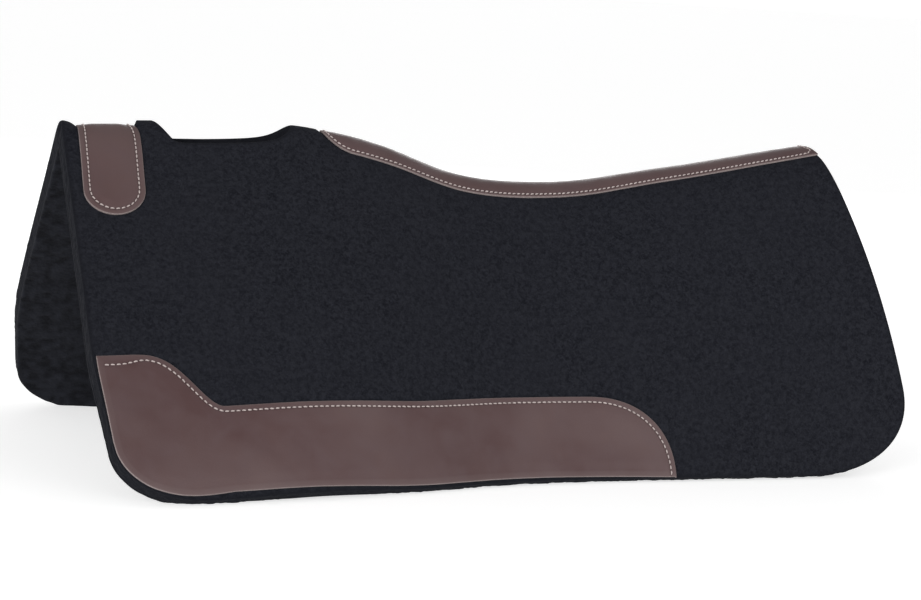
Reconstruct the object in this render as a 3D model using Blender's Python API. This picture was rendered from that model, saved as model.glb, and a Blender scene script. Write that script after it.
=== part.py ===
"""Contoured felt saddle pad for a Western saddle, standing open on its two hems.

Frame: metres, +Z up. X runs along the spine with the withers at -X, -Y is the horse's left side, and the
origin is on the floor below the middle of the pad. Each side is drawn as a pattern: x is the distance back
from the front of the spine, u is the distance down the outer face from the spine, and depth is measured
inwards from the outer face.
"""

import math
from functools import lru_cache

import bmesh
import bpy
import numpy as np

# Driving dimensions
SPINE_LENGTH = 0.787
FELT = 0.020  # thickness of the wool felt
LINER = 0.0037  # thickness of the fleece liner
LEATHER = 0.0026
TAPE = 0.0012  # thickness of the cloth tape inside the spine seam
THREAD = 0.0012  # diameter of the sewing thread
GAP = 0.0003  # clearance between neighbouring pieces
LEATHER_GAP = 0.0009  # clearance under the leather, which lies on a curved face
LINER_GAP = 0.0008  # clearance between the felt and the fleece bonded to it

# Height of the spine above the floor at stations behind the front edge
SPINE_STATIONS = (0.0, 0.13, 0.25, 0.32, 0.40, 0.50, 0.62, 0.78)
SPINE_HEIGHTS = (0.3193, 0.3238, 0.3216, 0.3052, 0.2799, 0.2753, 0.2937, 0.3231)

# Flare of the sides from the vertical in degrees, at the spine, FLARE_STEP below it and twice that below
FLARE_FRONT = (42.7, 44.4, 31.4)
FLARE_REAR = (30.6, 21.4, 12.9)
FLARE_STEP = 0.2
RIDGE_FRONT = 0.0112  # length over which the side turns down from the spine, at the front edge
RIDGE_GROWTH = 0.0256  # how much longer that turn gets for each metre towards the rear

# Outline of a side
FRONT_BOW = 0.0030  # how far the front edge stands ahead of the spine's end
FRONT_BOW_DROP = 0.004  # drop below the spine over which it comes forward
FRONT_TURN = 0.285  # drop below the spine from which the front edge runs back
FRONT_TURN_LENGTH = 0.012
FRONT_SWEEP = 0.14  # how fast it runs back there
REAR_SWEEP = 0.335  # how fast the rear edge runs back from the spine
REAR_BOW = 0.285
FRONT_CORNER = (0.085, 0.055)  # length and height of the round corner at the front of the hem
REAR_CORNER = (0.130, 0.090)
CORNER_SQUARENESS = 2.2
HEM_REST = 0.65  # share of the felt's thickness that stays above the flat foot of the hem
HEM_RISE = 0.0035  # how far the hem bows up from the floor behind its front foot
HEM_RISE_MIDDLE = 0.215
HEM_RISE_HALF_LENGTH = 0.115

# Cut-out over the withers
CUT_START = 0.0858
CUT_END = 0.2270
CUT_HALF_WIDTH = 0.034
CUT_FRONT_SLOPE = 1.8  # how fast it widens from its front end
CUT_REAR_SLOPE = 2.0
CUT_FRONT_SQUARENESS = 10  # sharpness of the corner where that slope meets the side of the cut-out
CUT_REAR_SQUARENESS = 2

# Leather
STRAP_MIDDLE = 0.0430
STRAP_LEAN = 0.043  # how fast its ends lean towards the front
STRAP_HALF_WIDTH = 0.0295
STRAP_DROP = 0.1205
STRAP_WAIST = 0.002  # how far its edges draw in over the ridge
STRAP_WAIST_DROP = 0.014
STRIP_START = 0.2558
STRIP_HALF_WIDTH = 0.0295
STRIP_TAPER = 0.0145  # how much its half width shrinks for each metre towards the rear
WEAR_FRONT_HEIGHT = 0.1432  # height of the wear leather above the hem at the front edge
WEAR_HEIGHT = 0.0880  # its height where the step down from the front ends
WEAR_TAPER = 0.014  # how much lower it gets for each metre towards the rear
WEAR_STEP = (0.025, 0.117)  # stations between which it steps down
WEAR_STEP_POWER = 2.2  # above 1, the step comes late and steep
WEAR_ROUND = (0.500, 0.590)  # stations between which its rear end rounds off
WEAR_SQUARENESS = 2.3
EDGE_MARGIN = 0.001  # bare felt left between the leather and the edge of a side
MARGIN_STATIONS = (0.0, 0.04, 0.07, 0.12, 0.20, 0.28, 0.45, 0.58)
HEM_MARGINS = (0.001, 0.001, 0.0025, 0.0065, 0.0050, 0.0032, 0.0028, 0.001)  # bare felt below the wear leather

# Stitching
STRAP_STITCH_INSET = 0.006
STRIP_STITCH_INSET = 0.0032
STRIP_STITCH_REAR = 0.005  # how far it stays in from the rear end of the strip
STRIP_STITCH_CORNER = 0.007  # radius of its corners there
WEAR_STITCH_INSET = 0.0056
WEAR_STITCH_DIP = 0.0045  # how much farther in the row runs at the front edge
WEAR_STITCH_DIP_ENDS = (0.020, 0.050)
STITCH_LIFT = LEATHER_GAP + LEATHER + THREAD + 2 * GAP  # height of a thread's middle above the felt

# Seam inside the spine
TAPE_DEPTH = FELT + LINER_GAP + LINER + 2 * GAP
TAPE_HALF_WIDTH = 0.016
TAPE_MARGIN = 0.004  # distance from the ends of a seam to the ends of its tape
ZIGZAG_HALF_WIDTH = 0.007
ZIGZAG_STEP = 0.012
ZIGZAG_SAG = 0.004  # how far the thread hangs below the tape where it crosses the middle

FELT_COLOUR = (0.016, 0.018, 0.026)
FLEECE_COLOUR = (0.008, 0.008, 0.010)
TAPE_COLOUR = (0.012, 0.012, 0.015)
DARK_THREAD_COLOUR = (0.03, 0.03, 0.035)
LEATHER_COLOUR = (0.115, 0.072, 0.068)
PALE_THREAD_COLOUR = (0.50, 0.43, 0.43)

SIDES = {"left": -1, "right": 1}
ARC = np.concatenate([np.linspace(0, 0.06, 61)[:-1], np.linspace(0.06, 0.48, 85)])


def spine_height(x):
    """Height of the spine, as a smooth curve through the stations and straight on past them."""
    stations, heights = np.array(SPINE_STATIONS), np.array(SPINE_HEIGHTS)
    slopes = np.gradient(heights, stations)
    if x > stations[-1]:
        return heights[-1] + slopes[-1] * (x - stations[-1])
    i = min(int(np.searchsorted(stations, x, side="right")), len(stations) - 1) - 1
    width = stations[i + 1] - stations[i]
    t = (x - stations[i]) / width
    rise = heights[i] * (1 - t) ** 2 * (1 + 2 * t) + heights[i + 1] * t**2 * (3 - 2 * t)
    return rise + width * (slopes[i] * t * (1 - t) ** 2 - slopes[i + 1] * t**2 * (1 - t))


def flare(angles, u):
    """Flare at u, on the parabola through the three given angles."""
    t = u / FLARE_STEP
    top, middle, low = angles
    return top * (1 - t) * (2 - t) / 2 + middle * t * (2 - t) + low * t * (t - 1) / 2


@lru_cache(maxsize=None)
def section(x):
    """Slope, half width and height of the outer face along ARC, at one station."""
    back = x / SPINE_STATIONS[-1]
    angle = flare(FLARE_FRONT, ARC) * (1 - back) + flare(FLARE_REAR, ARC) * back
    turn = RIDGE_FRONT + RIDGE_GROWTH * x
    slope = np.radians(90 - angle) * np.tanh(ARC / turn)
    steps = np.diff(ARC)
    across = np.concatenate([[0], np.cumsum(steps * (np.cos(slope)[1:] + np.cos(slope)[:-1]) / 2)])
    down = np.concatenate([[0], np.cumsum(steps * (np.sin(slope)[1:] + np.sin(slope)[:-1]) / 2)])
    return slope, across, spine_height(x) - down


def offset_section(x, depth):
    """Half width and height of the face at this depth, along ARC."""
    slope, across, height = section(x)
    return across - depth * np.sin(slope), height - depth * np.cos(slope)


def first_arc(x, depth):
    """Where the face at this depth leaves the middle plane."""
    if depth <= 0:
        return 0.0
    across = offset_section(x, depth)[0]
    crossed = int(np.nonzero(across < 0)[0][-1]) if (across < 0).any() else 0
    a, b = across[crossed], across[crossed + 1]
    return float(ARC[crossed] + (ARC[crossed + 1] - ARC[crossed]) * a / (a - b))


def point(x, u, depth, side):
    """A point of the pad in space. side is -1 on the left, 1 on the right."""
    across, height = offset_section(x, depth)
    y = np.interp(u, ARC, across)
    z = np.interp(u, ARC, height)
    return (x - CENTRE, side * (max(y, 0.0) + GAP / 2), z)


def eased(u, start):
    """u, held back so that it begins at start and soon equals itself again."""
    return (u**3 + start**3) ** (1 / 3)


def front_edge(u):
    swept = FRONT_TURN_LENGTH * math.log1p(math.exp((u - FRONT_TURN) / FRONT_TURN_LENGTH))
    return FRONT_SWEEP * swept - FRONT_BOW * (1 - math.exp(-u / FRONT_BOW_DROP))


def rear_edge(u):
    return SPINE_LENGTH + REAR_SWEEP * u - REAR_BOW * u * u


def column_x(share, u):
    """Where a column of a side lies at u. share is 0 at the front edge and 1 at the rear edge."""
    return (1 - share) * front_edge(u) + share * rear_edge(u)


def floor_arc(x, depth):
    """How far down the side the face at this depth meets the floor."""
    height = offset_section(x, depth)[1]
    return float(np.interp(0.0, -height, ARC))


def straight_hem(x):
    """Arc length of the hem at x, with no round corners."""
    t = min(abs(x - HEM_RISE_MIDDLE) / HEM_RISE_HALF_LENGTH, 1.0)
    return floor_arc(x, HEM_REST * FELT) - HEM_RISE * (1 - t * t) ** 2


def corner(distance, size):
    """How far a round corner lifts the hem at this distance from the edge."""
    length, height = size
    t = min(max(1 - distance / length, 0.0), 1.0)
    return height * (1 - (1 - t**CORNER_SQUARENESS) ** (1 / CORNER_SQUARENESS))


def hem_of_column(share):
    """Arc length of the hem where a column of the side meets it."""
    low = FLARE_STEP
    for _ in range(SOLVING_STEPS):
        front, rear = front_edge(low), rear_edge(low)
        x = column_x(share, low)
        reached = straight_hem(x) - corner(x - front, FRONT_CORNER) - corner(rear - x, REAR_CORNER)
        low = (low + reached) / 2
    return low


def cut_edge(x):
    """How far the cut-out over the withers reaches down the side."""
    if not CUT_START < x < CUT_END:
        return 0.0
    front = CUT_FRONT_SLOPE * (x - CUT_START)
    rear = CUT_REAR_SLOPE * (CUT_END - x)
    behind = both(CUT_HALF_WIDTH, rear, CUT_REAR_SQUARENESS)
    return both(behind, front, CUT_FRONT_SQUARENESS)


def both(first, second, squareness):
    """The lesser of two lengths, with the change from one to the other rounded off."""
    return (first**-squareness + second**-squareness) ** (-1 / squareness)


SOLVING_STEPS = 24
CORNER_TURNS = [math.radians(a) for a in (0, 20, 40, 60, 90)]
CUT_COLUMNS = (0, 0.047, 0.09, 0.120, 0.140, 0.165, 0.455, 0.717, 0.83, 0.908, 0.963, 1)
ROWS = (0, 0.013, 0.03, 0.055, 0.095, 0.16, 0.27, 0.42, 0.60, 0.80, 1)
WAIST_COLUMNS = 15


def columns():
    """Stations where the sides are sectioned, as shares from 0 at the front edge to 1 at the rear edge."""
    front_low, rear_low = hem_of_column(0), hem_of_column(1)
    front_width = rear_edge(front_low) - front_edge(front_low)
    rear_width = rear_edge(rear_low) - front_edge(rear_low)
    front = [FRONT_CORNER[0] * (1 - math.cos(a)) / front_width for a in CORNER_TURNS]
    rear = [1 - REAR_CORNER[0] * (1 - math.cos(a)) / rear_width for a in CORNER_TURNS]
    cut = [(CUT_START + (CUT_END - CUT_START) * t) / SPINE_LENGTH for t in CUT_COLUMNS]
    waist = np.linspace(cut[-1], rear[-1], WAIST_COLUMNS)[1:-1]
    return sorted([*front, *cut, *waist, *rear])


def row_arcs(share):
    """Arc lengths of a column's points, from the spine or the cut-out down to the hem."""
    top = cut_edge(share * SPINE_LENGTH)
    low = hem_of_column(share)
    return [top + (low - top) * t for t in ROWS]


STATIONS = [column_x(share, u) for share in columns() for u in row_arcs(share)]
CENTRE = (min(STATIONS) + max(STATIONS)) / 2

# Mesh helpers


def loft(name, loops, capped, colour, roughness):
    """A closed body through equal loops of points. A capped loft has its ends closed by bands of quads."""
    mesh = bpy.data.meshes.new(name)
    body = bmesh.new()
    rings = [[body.verts.new(p) for p in loop] for loop in loops]
    count = len(rings[0])
    pairs = list(zip(rings, rings[1:])) if capped else list(zip(rings, rings[1:] + rings[:1]))
    for first, second in pairs:
        for i in range(count):
            j = (i + 1) % count
            body.faces.new((first[i], first[j], second[j], second[i]))
    if capped:
        for ring in (rings[0], rings[-1]):
            for i in range((count - 1) // 2):
                corners = [ring[i], ring[i + 1], ring[count - 2 - i], ring[count - 1 - i]]
                unique = list(dict.fromkeys(corners))
                if len(unique) > 2:
                    body.faces.new(unique)
    bmesh.ops.recalc_face_normals(body, faces=body.faces)
    body.to_mesh(mesh)
    body.free()
    obj = bpy.data.objects.new(name, mesh)
    bpy.context.collection.objects.link(obj)
    mesh.materials.append(principled(name, colour, roughness))
    return obj


def principled(name, colour, roughness):
    made = bpy.data.materials.new(name)
    made.use_nodes = True
    shader = made.node_tree.nodes["Principled BSDF"]
    shader.inputs["Base Color"].default_value = (*colour, 1)
    shader.inputs["Roughness"].default_value = roughness
    shader.inputs["Metallic"].default_value = 0
    return made


def tube(name, path, closed, colour, roughness):
    """A four-sided thread along points of (position, normal)."""
    points = [np.array(p) for p, _ in path]
    normals = [np.array(n) for _, n in path]
    loops = []
    for i, centre in enumerate(points):
        before = points[i - 1] if closed or i else points[0]
        after = points[(i + 1) % len(points)] if closed or i + 1 < len(points) else points[-1]
        along = (after - before) / np.linalg.norm(after - before)
        side = np.cross(along, normals[i])
        side /= np.linalg.norm(side)
        up = np.cross(side, along)
        loops.append([tuple(centre + THREAD / 2 * way) for way in (side, up, -side, -up)])
    return loft(name, loops, not closed, colour, roughness)


def face_normal(x, u, side):
    slope = float(np.interp(u, ARC, section(x)[0]))
    return (0.0, side * math.sin(slope), math.cos(slope))


# Felt and fleece

def side_column(share, outer, inner, foot_lift, side):
    """The loop of points round one section of a layer between two depths."""

    def place(u, depth):
        return point(column_x(share, u), u, depth, side)

    def lifted(u, depth):
        held = u
        for _ in range(SOLVING_STEPS):
            held = min(u, floor_arc(column_x(share, held), depth) - foot_lift)
        return held

    arcs = row_arcs(share)
    begin = first_arc(share * SPINE_LENGTH, outer)
    finish = first_arc(share * SPINE_LENGTH, inner)
    outside = [place(lifted(eased(u, begin), outer), outer) for u in arcs]
    inside = [place(lifted(eased(u, finish), inner), inner) for u in arcs]
    foot_depth = outer + HEM_REST * (inner - outer)
    foot = place(lifted(arcs[-1], foot_depth), foot_depth)
    return [*outside, foot, *reversed(inside)]


def side_layer(name, outer, inner, foot_lift, side, colour, roughness):
    loops = [side_column(share, outer, inner, foot_lift, side) for share in columns()]
    return loft(name, loops, True, colour, roughness)


def felt_panel(label, side):
    side_layer(f"felt_panel_{label}", 0.0, FELT, 0.0, side, FELT_COLOUR, 0.95)


def fleece_liner(label, side):
    outer = FELT + LINER_GAP
    side_layer(f"fleece_liner_{label}", outer, outer + LINER, 2 * GAP, side, FLEECE_COLOUR, 0.98)


# Leather


def over_spine(x, v, lift):
    """A point lifted off the outer face, where v is the distance across the spine, negative on the left."""
    side = -1 if v < 0 else 1
    across, height = offset_section(x, -lift)
    y = np.interp(abs(v), ARC, across)
    return (x - CENTRE, side * y, np.interp(abs(v), ARC, height))


def leather_loop(placed):
    """The loop of points round a row of leather, given as places (x, v) across the spine."""
    top = [over_spine(x, v, LEATHER_GAP + LEATHER) for x, v in placed]
    bottom = [over_spine(x, v, LEATHER_GAP) for x, v in placed]
    return [*top, *reversed(bottom)]


def strap_centre(v):
    return STRAP_MIDDLE - STRAP_LEAN * abs(v)


def strap_half(v):
    """Half the wither strap's width, which draws in where the strap is pulled down over the ridge."""
    return STRAP_HALF_WIDTH - STRAP_WAIST * math.exp(-((v / STRAP_WAIST_DROP) ** 2))


def wither_strap():
    """Leather strap laid across the bridge, with a round end on each side."""
    straight = STRAP_DROP - STRAP_HALF_WIDTH
    turns = [math.radians(a) for a in (25, 50, 72, 86)]
    bands = (0.004, 0.008, 0.013, 0.020, 0.029, 0.044, 0.065, straight)
    round_end = [(straight + STRAP_HALF_WIDTH * math.sin(a), STRAP_HALF_WIDTH * math.cos(a)) for a in turns]
    right = [(v, strap_half(v)) for v in bands] + round_end
    stations = [(-v, width) for v, width in reversed(right)] + [(0.0, strap_half(0))] + right
    loops = []
    for v, width in stations:
        loops.append(leather_loop([(strap_centre(v) + width * t, v) for t in (-1, -1 / 3, 1 / 3, 1)]))
    loft("wither_strap_leather", loops, True, LEATHER_COLOUR, 0.55)


def strip_rear(v):
    """Where the spine strip ends, just short of the felt's rear edge."""
    return rear_edge(abs(v)) - EDGE_MARGIN


def strip_half(x):
    """Half the spine strip's width, which narrows towards the rear."""
    return STRIP_HALF_WIDTH - STRIP_TAPER * max(x - STRIP_START - STRIP_HALF_WIDTH, 0.0)


def spine_strip():
    """Leather strip along the spine, over the seam, with a round front end and a rear end cut square."""
    length = strip_rear(0) - STRIP_START
    turns = [math.radians(a) for a in (86, 70, 48, 25)]
    front = [(STRIP_HALF_WIDTH * (1 - math.sin(a)), STRIP_HALF_WIDTH * math.cos(a)) for a in turns]
    straight = [(run, strip_half(STRIP_START + run)) for run in np.linspace(STRIP_HALF_WIDTH, length, 22)]
    loops = []
    for run, width in [*front, *straight]:
        right = [width * t for t in (0.15, 0.32, 0.52, 0.75, 1)]
        across = [-v for v in reversed(right)] + [0.0] + right
        share = run / length
        loops.append(leather_loop([(STRIP_START + share * (strip_rear(v) - STRIP_START), v) for v in across]))
    loft("spine_strip_leather", loops, True, LEATHER_COLOUR, 0.55)


def smooth_step(t):
    t = min(max(t, 0.0), 1.0)
    return t * t * (3 - 2 * t)


def wear_height(x):
    """Height of the wear leather's top edge above the hem."""
    first, last = WEAR_STEP
    begin, end = WEAR_ROUND
    step = smooth_step((x - first) / (last - first)) ** WEAR_STEP_POWER
    low = WEAR_HEIGHT - WEAR_TAPER * (x - last)
    t = min(max((x - begin) / (end - begin), 0.0), 1.0)
    rounding = (1 - t**WEAR_SQUARENESS) ** (1 / WEAR_SQUARENESS)
    return (WEAR_FRONT_HEIGHT * (1 - step) + low * step) * rounding


def along_front(x, u):
    """A station drawn for a straight front edge, moved with the real one and less so farther back."""
    return x + front_edge(u) * min(max(1 - x / WEAR_STEP[1], 0.0), 1.0)


def wear_top(x):
    """A point (x, u) of the wear leather's top edge."""
    u = straight_hem(x) - wear_height(x)
    return along_front(x, u), u


def wear_bottom(x):
    """Arc length of the wear leather's bottom edge."""
    low = FLARE_STEP
    for _ in range(SOLVING_STEPS):
        moved = along_front(x, low)
        margin = np.interp(moved, MARGIN_STATIONS, HEM_MARGINS)
        lifted = corner(moved - front_edge(low), FRONT_CORNER)
        low = (low + straight_hem(moved) - lifted - margin) / 2
    return low


def wear_column(x, side):
    top, bottom = wear_top(x)[1], wear_bottom(x)
    arcs = [min(top + (bottom - top) * t, bottom) for t in (0, 0.3, 0.65, 1)]
    near = [point(along_front(x, u), u, -LEATHER_GAP - LEATHER, side) for u in arcs]
    under = [point(along_front(x, u), u, -LEATHER_GAP, side) for u in arcs]
    return [*near, *reversed(under)]


def wear_leather(label, side):
    """Leather facing along the front corner and the hem of one side, where the girth and cinch rub."""
    begin, end = WEAR_ROUND
    front = [EDGE_MARGIN + FRONT_CORNER[0] * (1 - math.cos(a)) for a in CORNER_TURNS]
    step = list(np.linspace(*WEAR_STEP, 9)) + [0.14]
    flat = list(np.linspace(0.17, begin, 11))
    round_end = [begin + (end - begin) * t for t in (0.35, 0.6, 0.78, 0.9, 0.965, 0.99, 0.997)]
    loops = [wear_column(x, side) for x in sorted([*front, *step, *flat, *round_end])]
    loft(f"wear_leather_{label}", loops, True, LEATHER_COLOUR, 0.5)


# Stitching


def on_leather(x, v):
    """Place and normal of a thread lying on leather, with v measured across the spine."""
    side = -1 if v < 0 else 1
    return over_spine(x, v, STITCH_LIFT), face_normal(x, abs(v), side)


def quarter(centre, radius, start, end, count):
    """Points on part of a circle, as (along, across), with the angles in degrees."""
    turns = [math.radians(start + (end - start) * i / count) for i in range(count + 1)]
    return [(centre[0] + radius * math.cos(a), centre[1] + radius * math.sin(a)) for a in turns]


def mirrored(line):
    """The line, and then its mirror image back to the start."""
    return line + [(along, -across) for along, across in reversed(line)]


def wither_strap_stitching():
    """A closed row of stitching inside the edge of the wither strap."""
    radius = STRAP_HALF_WIDTH - STRAP_STITCH_INSET
    straight = STRAP_DROP - STRAP_HALF_WIDTH
    side = [(strap_half(v) - STRAP_STITCH_INSET, v) for v in np.linspace(0, straight, 9)[:-1]]
    end = [(radius * math.cos(a), straight + radius * math.sin(a)) for a in np.radians((0, 22, 45, 68, 90))]
    right = side[1:] + end
    half_ring = [(x, -v) for x, v in reversed(right)] + [side[0]] + right
    ring = half_ring + [(-x, v) for x, v in reversed(half_ring[1:-1])]
    path = [on_leather(strap_centre(v) + x, v) for x, v in ring]
    tube("wither_strap_stitching", path, True, PALE_THREAD_COLOUR, 0.8)


def spine_strip_stitching():
    """A closed row of stitching inside the edge of the spine strip."""
    begin = STRIP_START + STRIP_HALF_WIDTH
    turn = STRIP_STITCH_CORNER
    half = strip_half(SPINE_LENGTH) - STRIP_STITCH_INSET
    corner_x = strip_rear(half) - STRIP_STITCH_REAR - turn
    front = quarter((begin, 0), STRIP_HALF_WIDTH - STRIP_STITCH_INSET, 170, 90, 4)
    straight = [(x, strip_half(x) - STRIP_STITCH_INSET) for x in np.linspace(begin, corner_x, 22)[1:-1]]
    rear = quarter((corner_x, half - turn), turn, 90, 0, 3)
    over = [(corner_x + turn, v) for v in (0.008, 0.005, 0.002)]
    path = [on_leather(x, v) for x, v in mirrored(front + straight + rear + over)]
    tube("spine_strip_stitching", path, True, PALE_THREAD_COLOUR, 0.8)


def wear_leather_stitching(label, side):
    """One row of stitching inside the top edge, from the front edge round to the hem."""
    begin, end = WEAR_ROUND
    xs = [0.006, *np.linspace(*WEAR_STEP, 10), *np.linspace(0.14, begin, 13)]
    xs += [begin + (end - begin) * math.sin(math.radians(a)) for a in (15, 30, 45, 58, 70, 80, 87)]
    edge = np.array([wear_top(x) for x in xs])
    ahead = np.gradient(edge, axis=0)
    ahead /= np.linalg.norm(ahead, axis=1)[:, None]
    near, far = WEAR_STITCH_DIP_ENDS
    insets = [WEAR_STITCH_INSET + WEAR_STITCH_DIP * (1 - smooth_step((x - near) / (far - near))) for x in xs]
    row = edge + np.array(insets)[:, None] * np.stack([-ahead[:, 1], ahead[:, 0]], 1)
    path = [(point(x, u, -STITCH_LIFT, side), face_normal(x, u, side)) for x, u in row]
    tube(f"wear_leather_stitching_{label}", path, False, PALE_THREAD_COLOUR, 0.8)


# Seam inside the spine


def under_spine(x, v, depth):
    """A point on the inside of the spine, where v is the distance along it from the middle, negative on the left."""
    side = -1 if v < 0 else 1
    across, height = offset_section(x, depth)
    start = first_arc(x, depth)
    arcs = np.concatenate([[start], ARC[ARC > start]])
    run = arcs - depth * np.interp(arcs, ARC, section(x)[0])
    u = np.interp(abs(v), run - run[0], arcs)
    return (x - CENTRE, side * max(np.interp(u, ARC, across), 0.0), np.interp(u, ARC, height))


def seam_tape(name, seam_start, seam_end, count):
    """Tape bonded across the inside of a seam."""
    loops = []
    half = TAPE_HALF_WIDTH
    for x in np.linspace(seam_start + TAPE_MARGIN, seam_end - TAPE_MARGIN, count):
        across = (-half, -half / 2, 0.0, half / 2, half)
        top = [under_spine(x, v, TAPE_DEPTH) for v in across]
        bottom = [under_spine(x, v, TAPE_DEPTH + TAPE) for v in across]
        loops.append([*top, *reversed(bottom)])
    loft(name, loops, True, TAPE_COLOUR, 0.9)


def seam_thread(name, seam_start, seam_end):
    """Zigzag of thread across the tape that holds the two sides together."""
    start, end = seam_start + 2 * TAPE_MARGIN, seam_end - 2 * TAPE_MARGIN
    count = int((end - start) / ZIGZAG_STEP)
    step = (end - start) / count
    depth = TAPE_DEPTH + TAPE + GAP + THREAD
    path = []
    for i in range(count + 1):
        x = start + i * step
        if i:
            path.append((under_spine(x - step / 2, 0.0, TAPE_DEPTH + TAPE + ZIGZAG_SAG), (0, 0, -1)))
        across = ZIGZAG_HALF_WIDTH if i % 2 else -ZIGZAG_HALF_WIDTH
        path.append((under_spine(x, across, depth), (0, 0, -1)))
    tube(name, path, False, DARK_THREAD_COLOUR, 0.8)


def build():
    for obj in list(bpy.data.objects):
        bpy.data.objects.remove(obj, do_unlink=True)
    for label, side in SIDES.items():
        felt_panel(label, side)
        fleece_liner(label, side)
        wear_leather(label, side)
        wear_leather_stitching(label, side)
    wither_strap()
    wither_strap_stitching()
    spine_strip()
    spine_strip_stitching()
    seam_tape("bridge_seam_tape", 0.0, CUT_START, 4)
    seam_thread("bridge_seam_thread", 0.0, CUT_START)
    seam_tape("spine_seam_tape", CUT_END, SPINE_LENGTH, 24)
    seam_thread("spine_seam_thread", CUT_END, SPINE_LENGTH)


build()
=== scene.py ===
"""Looks of a contoured Western saddle pad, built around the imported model.

Each side is drawn as a pattern: x is the distance back from the front edge and v the distance across the
spine, negative on the left. On one side, u is the same distance and always positive. depth is measured
inwards from the outer face of the felt, and a lift is a negative depth.
"""

import math

import bpy
import numpy as np
from mathutils import Matrix, Vector
from mathutils.geometry import delaunay_2d_cdt
from mathutils.kdtree import KDTree


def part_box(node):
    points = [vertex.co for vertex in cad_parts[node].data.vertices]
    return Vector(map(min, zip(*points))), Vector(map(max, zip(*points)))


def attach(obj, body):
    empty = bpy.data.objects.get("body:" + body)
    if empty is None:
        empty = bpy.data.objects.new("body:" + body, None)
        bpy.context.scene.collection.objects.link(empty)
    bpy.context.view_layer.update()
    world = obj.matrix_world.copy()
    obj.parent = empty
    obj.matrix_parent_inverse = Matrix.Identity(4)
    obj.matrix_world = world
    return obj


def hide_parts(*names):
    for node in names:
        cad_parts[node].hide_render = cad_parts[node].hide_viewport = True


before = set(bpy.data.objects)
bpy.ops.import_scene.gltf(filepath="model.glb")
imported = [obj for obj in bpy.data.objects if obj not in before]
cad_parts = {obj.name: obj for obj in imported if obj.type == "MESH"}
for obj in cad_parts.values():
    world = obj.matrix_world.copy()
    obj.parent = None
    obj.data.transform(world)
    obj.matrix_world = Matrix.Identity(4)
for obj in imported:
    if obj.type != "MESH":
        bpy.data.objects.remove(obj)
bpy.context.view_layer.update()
MM = 0.001

# The pattern's dimensions. All but STRAP_NUDGE and WEAR_FRONT_MARGIN are the model's.
SPINE_LENGTH = 0.787
FELT = 0.020
LINER = 0.0037
LINER_GAP = 0.0008
LEATHER = 0.0026
TAPE = 0.0012
THREAD = 0.0012
GAP = 0.0003
SPINE_STATIONS = np.array((0.0, 0.13, 0.25, 0.32, 0.40, 0.50, 0.62, 0.78))
SPINE_HEIGHTS = np.array((0.3193, 0.3238, 0.3216, 0.3052, 0.2799, 0.2753, 0.2937, 0.3231))
FLARE_FRONT = (42.7, 44.4, 31.4)
FLARE_REAR = (30.6, 21.4, 12.9)
FLARE_STEP = 0.2
RIDGE_FRONT, RIDGE_GROWTH = 0.0112, 0.0256
REAR_SWEEP, REAR_BOW = 0.335, 0.285
FRONT_BOW, FRONT_BOW_DROP = 0.0030, 0.004
FRONT_SWEEP, FRONT_TURN, FRONT_TURN_LENGTH = 0.14, 0.285, 0.012
FRONT_CORNER, REAR_CORNER, CORNER_SQUARENESS = (0.085, 0.055), (0.130, 0.090), 2.2
HEM_REST = 0.65
CUT_START, CUT_END, CUT_HALF_WIDTH = 0.0858, 0.2270, 0.034
CUT_FRONT_SLOPE, CUT_REAR_SLOPE, CUT_FRONT_SQUARENESS, CUT_REAR_SQUARENESS = 1.8, 2.0, 10, 2
STRAP_MIDDLE, STRAP_LEAN, STRAP_HALF, STRAP_DROP = 0.0430, 0.043, 0.0295, 0.1205
STRAP_WAIST, STRAP_WAIST_DROP = 0.002, 0.014
STRAP_NUDGE, STRAP_NUDGE_DROP = 0.0018, 0.012
STRIP_START, STRIP_HALF, STRIP_TAPER = 0.2558, 0.0295, 0.0145
WEAR_FRONT_HEIGHT, WEAR_HEIGHT, WEAR_TAPER = 0.1432, 0.0880, 0.014
WEAR_STEP, WEAR_STEP_POWER = (0.025, 0.117), 2.2
WEAR_ROUND, WEAR_SQUARENESS = (0.500, 0.590), 2.3
WEAR_FRONT_MARGIN = 0.0022
EDGE_MARGIN = 0.001
STRAP_INSET, STRIP_INSET, WEAR_INSET = 0.006, 0.0032, 0.0056
WEAR_DIP, WEAR_DIP_ENDS = 0.0045, (0.020, 0.050)
HEM_RISE, HEM_RISE_MIDDLE, HEM_RISE_HALF = 0.0035, 0.215, 0.115
MARGIN_STATIONS = (0.0, 0.04, 0.07, 0.12, 0.20, 0.28, 0.45, 0.58)
HEM_MARGINS = (0.001, 0.001, 0.0025, 0.0065, 0.0050, 0.0032, 0.0028, 0.001)
TAPE_DEPTH = FELT + LINER_GAP + LINER + 2 * GAP
TAPE_HALF_WIDTH, TAPE_MARGIN = 0.016, 0.004
ZIGZAG_HALF_WIDTH, ZIGZAG_STEP, ZIGZAG_SAG = 0.007, 0.012, 0.004
SIDES = {"left": -1, "right": 1}

BOX_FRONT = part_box("felt_panel_left")[0][0]

# ---------------------------------------------------------------- the pad's curved face

X_GRID = np.linspace(-0.02, 0.90, 231)
ARC = np.concatenate([np.linspace(0, 0.06, 121)[:-1], np.linspace(0.06, 0.48, 211)])


def flare(angles, u):
    t = u / FLARE_STEP
    top, middle, low = angles
    return top * (1 - t) * (2 - t) / 2 + middle * t * (2 - t) + low * t * (t - 1) / 2


def running_sum(values):
    steps = np.diff(ARC) * (values[:, 1:] + values[:, :-1]) / 2
    return np.concatenate([np.zeros((len(values), 1)), np.cumsum(steps, axis=1)], axis=1)


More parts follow.
